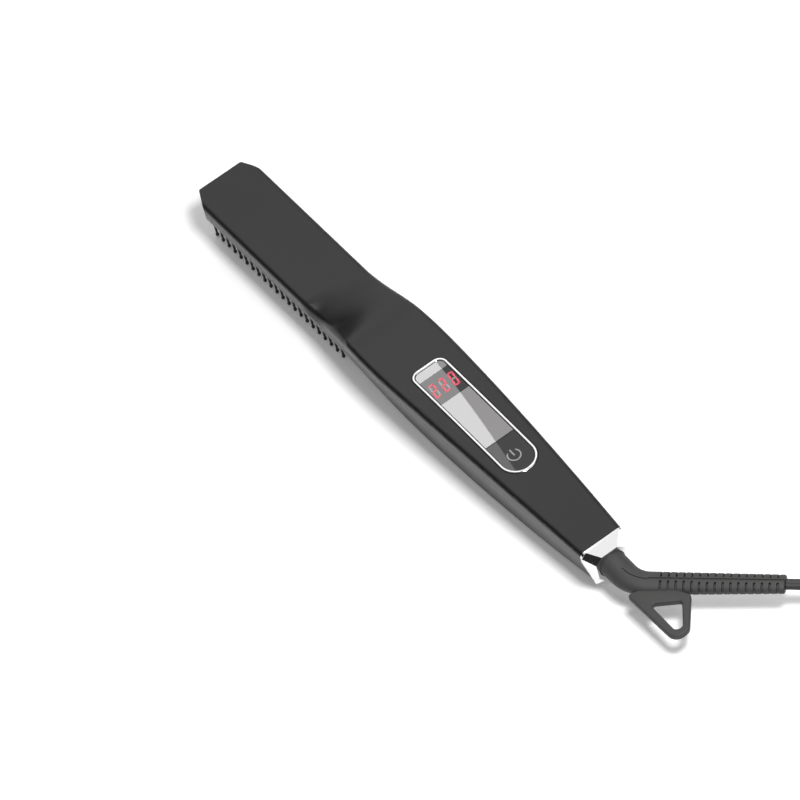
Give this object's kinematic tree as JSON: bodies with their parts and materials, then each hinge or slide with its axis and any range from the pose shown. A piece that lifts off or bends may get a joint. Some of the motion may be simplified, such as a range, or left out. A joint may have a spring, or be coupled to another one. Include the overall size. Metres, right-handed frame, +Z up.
{
  "type": "heated hair straightening brush",
  "caption": "Slim heated hair straightening brush with ball-tipped bristles, heated comb fins, display, power button, swivel tail with hanging eye, coiled cord and plug.",
  "frame": {"origin": "under the middle of the body, on the plane that the bristle tips and the belly rest on", "axes": "+X along the body from the head to the tail, +Z up out of the display side, +Y to the side that the tail's elbow turns to"},
  "size_m": [0.4925, 0.1104, 0.0322],
  "materials": {
    "display_side_plastic": "soft-touch satin dark grey",
    "bristle_side_plastic": "satin dark grey",
    "chrome_bezel": "polished",
    "display_glazing": "glossy grey",
    "led_module": "matte",
    "button_plastic": "glossy dark grey",
    "switch_body": "matte",
    "plunger_plastic": "matte",
    "circuit_board": "green solder mask",
    "plated_steel": "zinc plated",
    "semiconductor_case": "matte",
    "capacitor_case": "glossy",
    "comb_plastic": "heat-resistant nylon, satin black",
    "pin_steel": "bright ball tips",
    "coated_aluminium": "ceramic-coated, dark",
    "heater_ceramic": "sleeved in film",
    "spring_steel": "bright",
    "mica_sheet": "matte",
    "fuse_case": "plated",
    "thermistor_glass": "glass bead",
    "lead_insulation": "braided sleeve",
    "chrome_ring": "polished",
    "bush_plastic": "acetal",
    "contact_brass": "plain",
    "cord_rubber": "satin dark grey",
    "cord_sheath": "satin dark grey",
    "tie_plastic": "matte black",
    "plug_plastic": "satin dark grey",
    "plug_brass": "nickel-plated brass"
  },
  "bodies": {
    "root": {"back_shell": "display_side_plastic", "front_shell": "bristle_side_plastic", "display_frame": "chrome_bezel", "display_window": "display_glazing", "display_module": "led_module", "tact_switch": "switch_body", "main_pcb": "circuit_board", "pcb_screws": "plated_steel", "triac": "semiconductor_case", "capacitor": "capacitor_case", "comb_frame": "comb_plastic", "ball_pins": "pin_steel", "heater_comb": "coated_aluminium", "ptc_heater": "heater_ceramic", "heater_clamp": "spring_steel", "heat_shield": "mica_sheet", "thermal_fuse": "fuse_case", "thermistor": "thermistor_glass", "heater_leads": "lead_insulation", "housing_screws": "plated_steel", "screw_plugs": "bristle_side_plastic", "tail_ring": "chrome_ring", "swivel_bush": "bush_plastic", "contact_plate": "switch_body", "contact_springs": "contact_brass", "supply_leads": "lead_insulation", "cord_run": "cord_sheath", "cord_coil": "cord_sheath", "cord_tail": "cord_sheath", "cord_tie": "tie_plastic", "plug_body": "plug_plastic", "plug_blades": "plug_brass"},
    "button": {"power_button": "button_plastic", "switch_plunger": "plunger_plastic"},
    "release_tab": {"comb_release_tab": "bristle_side_plastic"},
    "swivel": {"swivel_spool": "bush_plastic", "slip_rings": "contact_brass", "strain_relief": "cord_rubber", "hang_loop": "cord_rubber"}
  },
  "joints": [
    {"name": "power_button_press", "type": "slide", "parent": "root", "child": "button", "axis": [0, 0, -1], "range_m": [0, 0.0005], "stiffness_N_per_m": 3000, "springref_m": -0.0003},
    {"name": "comb_release", "type": "hinge", "parent": "root", "child": "release_tab", "pos_m": [-0.0246, 0, 0.01081], "axis": [0, 1, 0], "range_deg": [0, 6], "stiffness_Nm_per_rad": 0.2, "springref_deg": -1.15},
    {"name": "cord_swivel", "type": "hinge", "parent": "root", "child": "swivel", "pos_m": [0.1435, 0, 0.0154], "axis": [1, 0, 0], "continuous": true}
  ]
}
